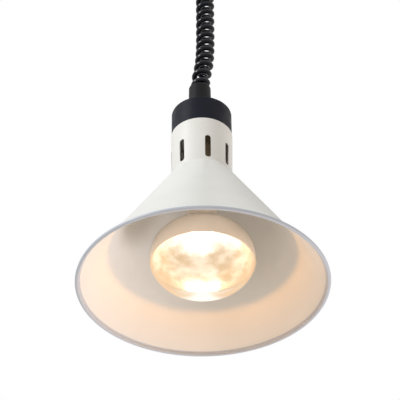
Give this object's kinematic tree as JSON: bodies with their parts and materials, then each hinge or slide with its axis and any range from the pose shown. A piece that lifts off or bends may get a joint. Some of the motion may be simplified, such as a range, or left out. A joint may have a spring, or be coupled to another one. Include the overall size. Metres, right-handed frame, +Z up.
{
  "type": "heat lamp fixture",
  "caption": "Height-adjustable hanging heat lamp: vented conical shade with a reflector bulb, black cap and collar, on a curly cord from a ceiling canopy.",
  "frame": {"origin": "middle of the ceiling bracket's top face, where it meets the ceiling", "axes": "+Z up; -Y towards the viewer; the lamp hangs below the origin, 5.8 mm towards -X"},
  "size_m": [0.29, 0.29, 0.5918],
  "materials": {
    "shade_paint": "off-white stoved enamel over spun aluminium",
    "cap_paint": "black satin powder coat",
    "collar_plastic": "black moulded nylon",
    "cord_sheath": "glossy black sheath",
    "nut_steel": "zinc plated",
    "screw_steel": "zinc plated",
    "bracket_steel": "zinc plated sheet",
    "ceramic": "glazed porcelain",
    "brass": "machined",
    "switch_plastic": "black moulded",
    "insulation_brown": "silicone insulation",
    "insulation_blue": "silicone insulation",
    "insulation_green": "silicone insulation, green and yellow",
    "block_nylon": "natural nylon",
    "bulb_glass": "clear pressed glass",
    "bulb_mirror": "vacuum coated aluminium with a pale lacquer behind it",
    "bulb_base_metal": "rolled thread",
    "vitrite": "black glass",
    "solder": "soldered tip",
    "stem_glass": "lead glass",
    "support_wire": "nickel wire",
    "filament": "coiled tungsten",
    "canopy_paint": "black satin powder coat"
  },
  "bodies": {
    "ceiling": {"canopy_collar": "collar_plastic", "canopy_collar_nut": "nut_steel", "canopy_cord_end": "cord_sheath", "ceiling_bracket": "bracket_steel", "canopy": "canopy_paint", "canopy_screws": "screw_steel", "terminal_block": "block_nylon", "terminal_screws": "brass", "canopy_earth_screw": "screw_steel", "canopy_live_lead": "insulation_brown", "canopy_neutral_lead": "insulation_blue", "canopy_earth_lead": "insulation_green", "curly_cord": "cord_sheath"},
    "lamp": {"shade": "shade_paint", "cap": "cap_paint", "lamp_collar": "collar_plastic", "lamp_collar_nut": "nut_steel", "lamp_cord_end": "cord_sheath", "lampholder_bracket": "bracket_steel", "shade_screws": "screw_steel", "lampholder_screws": "screw_steel", "lamp_earth_screw": "screw_steel", "lampholder_body": "ceramic", "lampholder_shell": "brass", "lampholder_contact": "brass", "lampholder_terminals": "brass", "switch_housing": "switch_plastic", "switch_terminals": "brass", "lamp_neutral_lead": "insulation_blue", "lamp_switched_lead": "insulation_brown", "lamp_live_lead": "insulation_brown", "lamp_earth_lead": "insulation_green"},
    "rocker": {"switch_rocker": "switch_plastic"},
    "bulb": {"bulb_glass": "bulb_glass", "bulb_reflector": "bulb_mirror", "bulb_base": "bulb_base_metal", "bulb_insulator": "vitrite", "bulb_contact": "solder", "bulb_stem": "stem_glass", "bulb_supports": "support_wire", "bulb_filament": "filament"}
  },
  "joints": [
    {"name": "lamp_height", "type": "slide", "parent": "ceiling", "child": "lamp", "axis": [0, 0, 1], "range_m": [-0.2, 0.07], "deforming": ["curly_cord"]},
    {"name": "switch_rock", "type": "hinge", "parent": "lamp", "child": "rocker", "pos_m": [-0.0058, 0.025, -0.333], "axis": [0, 1, 0], "range_deg": [-16, 0]},
    {"name": "bulb_removal", "type": "slide", "parent": "lamp", "child": "bulb", "axis": [0, 0, -1], "range_m": [0, 0.2]}
  ]
}
